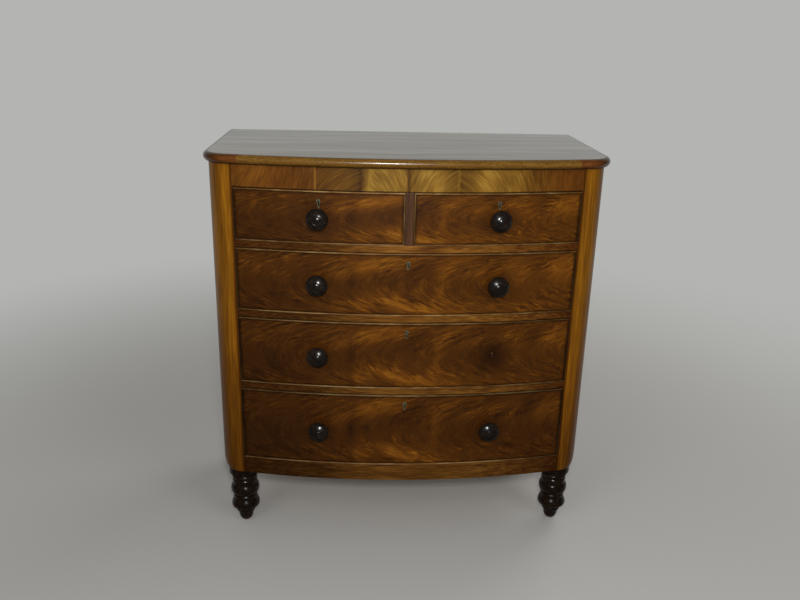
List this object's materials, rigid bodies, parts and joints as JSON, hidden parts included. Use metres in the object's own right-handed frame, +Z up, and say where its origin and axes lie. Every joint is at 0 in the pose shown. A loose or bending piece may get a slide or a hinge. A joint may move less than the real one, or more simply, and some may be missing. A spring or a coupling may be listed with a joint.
{
  "type": "bow front chest of drawers",
  "caption": "Bow front chest of drawers on turned feet, with short drawers over long ones, turned knobs and brass keyhole liners.",
  "frame": {"origin": "the middle of the whole outline in plan, on the floor that the feet stand on", "axes": "+Z up, +X to the right seen from the front, -Y out of the bowed front, the way that the drawers pull out"},
  "size_m": [1.174, 0.6066, 1.224],
  "materials": {
    "flame_mahogany": "polished flame veneer",
    "carcase_mahogany": "polished",
    "top_mahogany": "polished",
    "rail_mahogany": "polished",
    "cock_bead": "worn polish",
    "dark_stained_wood": "glossy dark polish",
    "broken_stem": "bare broken wood",
    "pine": "bare, aged",
    "brass": "dull, tarnished"
  },
  "bodies": {
    "carcase": {"top_board": "top_mahogany", "side_left": "carcase_mahogany", "side_right": "carcase_mahogany", "stile_left": "carcase_mahogany", "stile_right": "carcase_mahogany", "frieze_rail": "carcase_mahogany", "divider_under_short_drawers": "rail_mahogany", "divider_under_upper_drawer": "rail_mahogany", "divider_under_middle_drawer": "rail_mahogany", "bottom_rail": "rail_mahogany", "bottom_board": "pine", "back_panel": "pine", "partition": "rail_mahogany", "foot_front_left": "dark_stained_wood", "foot_front_right": "dark_stained_wood", "foot_back_left": "dark_stained_wood", "foot_back_right": "dark_stained_wood"},
    "short_left_drawer": {"short_left_front": "flame_mahogany", "short_left_cock_bead": "cock_bead", "short_left_lock": "brass", "short_left_knob": "dark_stained_wood", "short_left_side_left": "pine", "short_left_side_right": "pine", "short_left_bottom": "pine", "short_left_back": "pine"},
    "short_right_drawer": {"short_right_front": "flame_mahogany", "short_right_cock_bead": "cock_bead", "short_right_lock": "brass", "short_right_knob": "dark_stained_wood", "short_right_side_left": "pine", "short_right_side_right": "pine", "short_right_bottom": "pine", "short_right_back": "pine"},
    "upper_drawer": {"upper_front": "flame_mahogany", "upper_cock_bead": "cock_bead", "upper_lock": "brass", "upper_knob_left": "dark_stained_wood", "upper_knob_right": "dark_stained_wood", "upper_side_left": "pine", "upper_side_right": "pine", "upper_bottom": "pine", "upper_back": "pine"},
    "middle_drawer": {"middle_front": "flame_mahogany", "middle_cock_bead": "cock_bead", "middle_lock": "brass", "middle_knob_left": "dark_stained_wood", "middle_knob_stub": "broken_stem", "middle_side_left": "pine", "middle_side_right": "pine", "middle_bottom": "pine", "middle_back": "pine"},
    "lower_drawer": {"lower_front": "flame_mahogany", "lower_cock_bead": "cock_bead", "lower_lock": "brass", "lower_knob_left": "dark_stained_wood", "lower_knob_right": "dark_stained_wood", "lower_side_left": "pine", "lower_side_right": "pine", "lower_bottom": "pine", "lower_back": "pine"}
  },
  "joints": [
    {"name": "short_left_slide", "type": "slide", "parent": "carcase", "child": "short_left_drawer", "axis": [0, -1, 0], "range_m": [0, 0.38]},
    {"name": "short_right_slide", "type": "slide", "parent": "carcase", "child": "short_right_drawer", "axis": [0, -1, 0], "range_m": [0, 0.38]},
    {"name": "upper_slide", "type": "slide", "parent": "carcase", "child": "upper_drawer", "axis": [0, -1, 0], "range_m": [0, 0.38]},
    {"name": "middle_slide", "type": "slide", "parent": "carcase", "child": "middle_drawer", "axis": [0, -1, 0], "range_m": [0, 0.38]},
    {"name": "lower_slide", "type": "slide", "parent": "carcase", "child": "lower_drawer", "axis": [0, -1, 0], "range_m": [0, 0.38]}
  ]
}
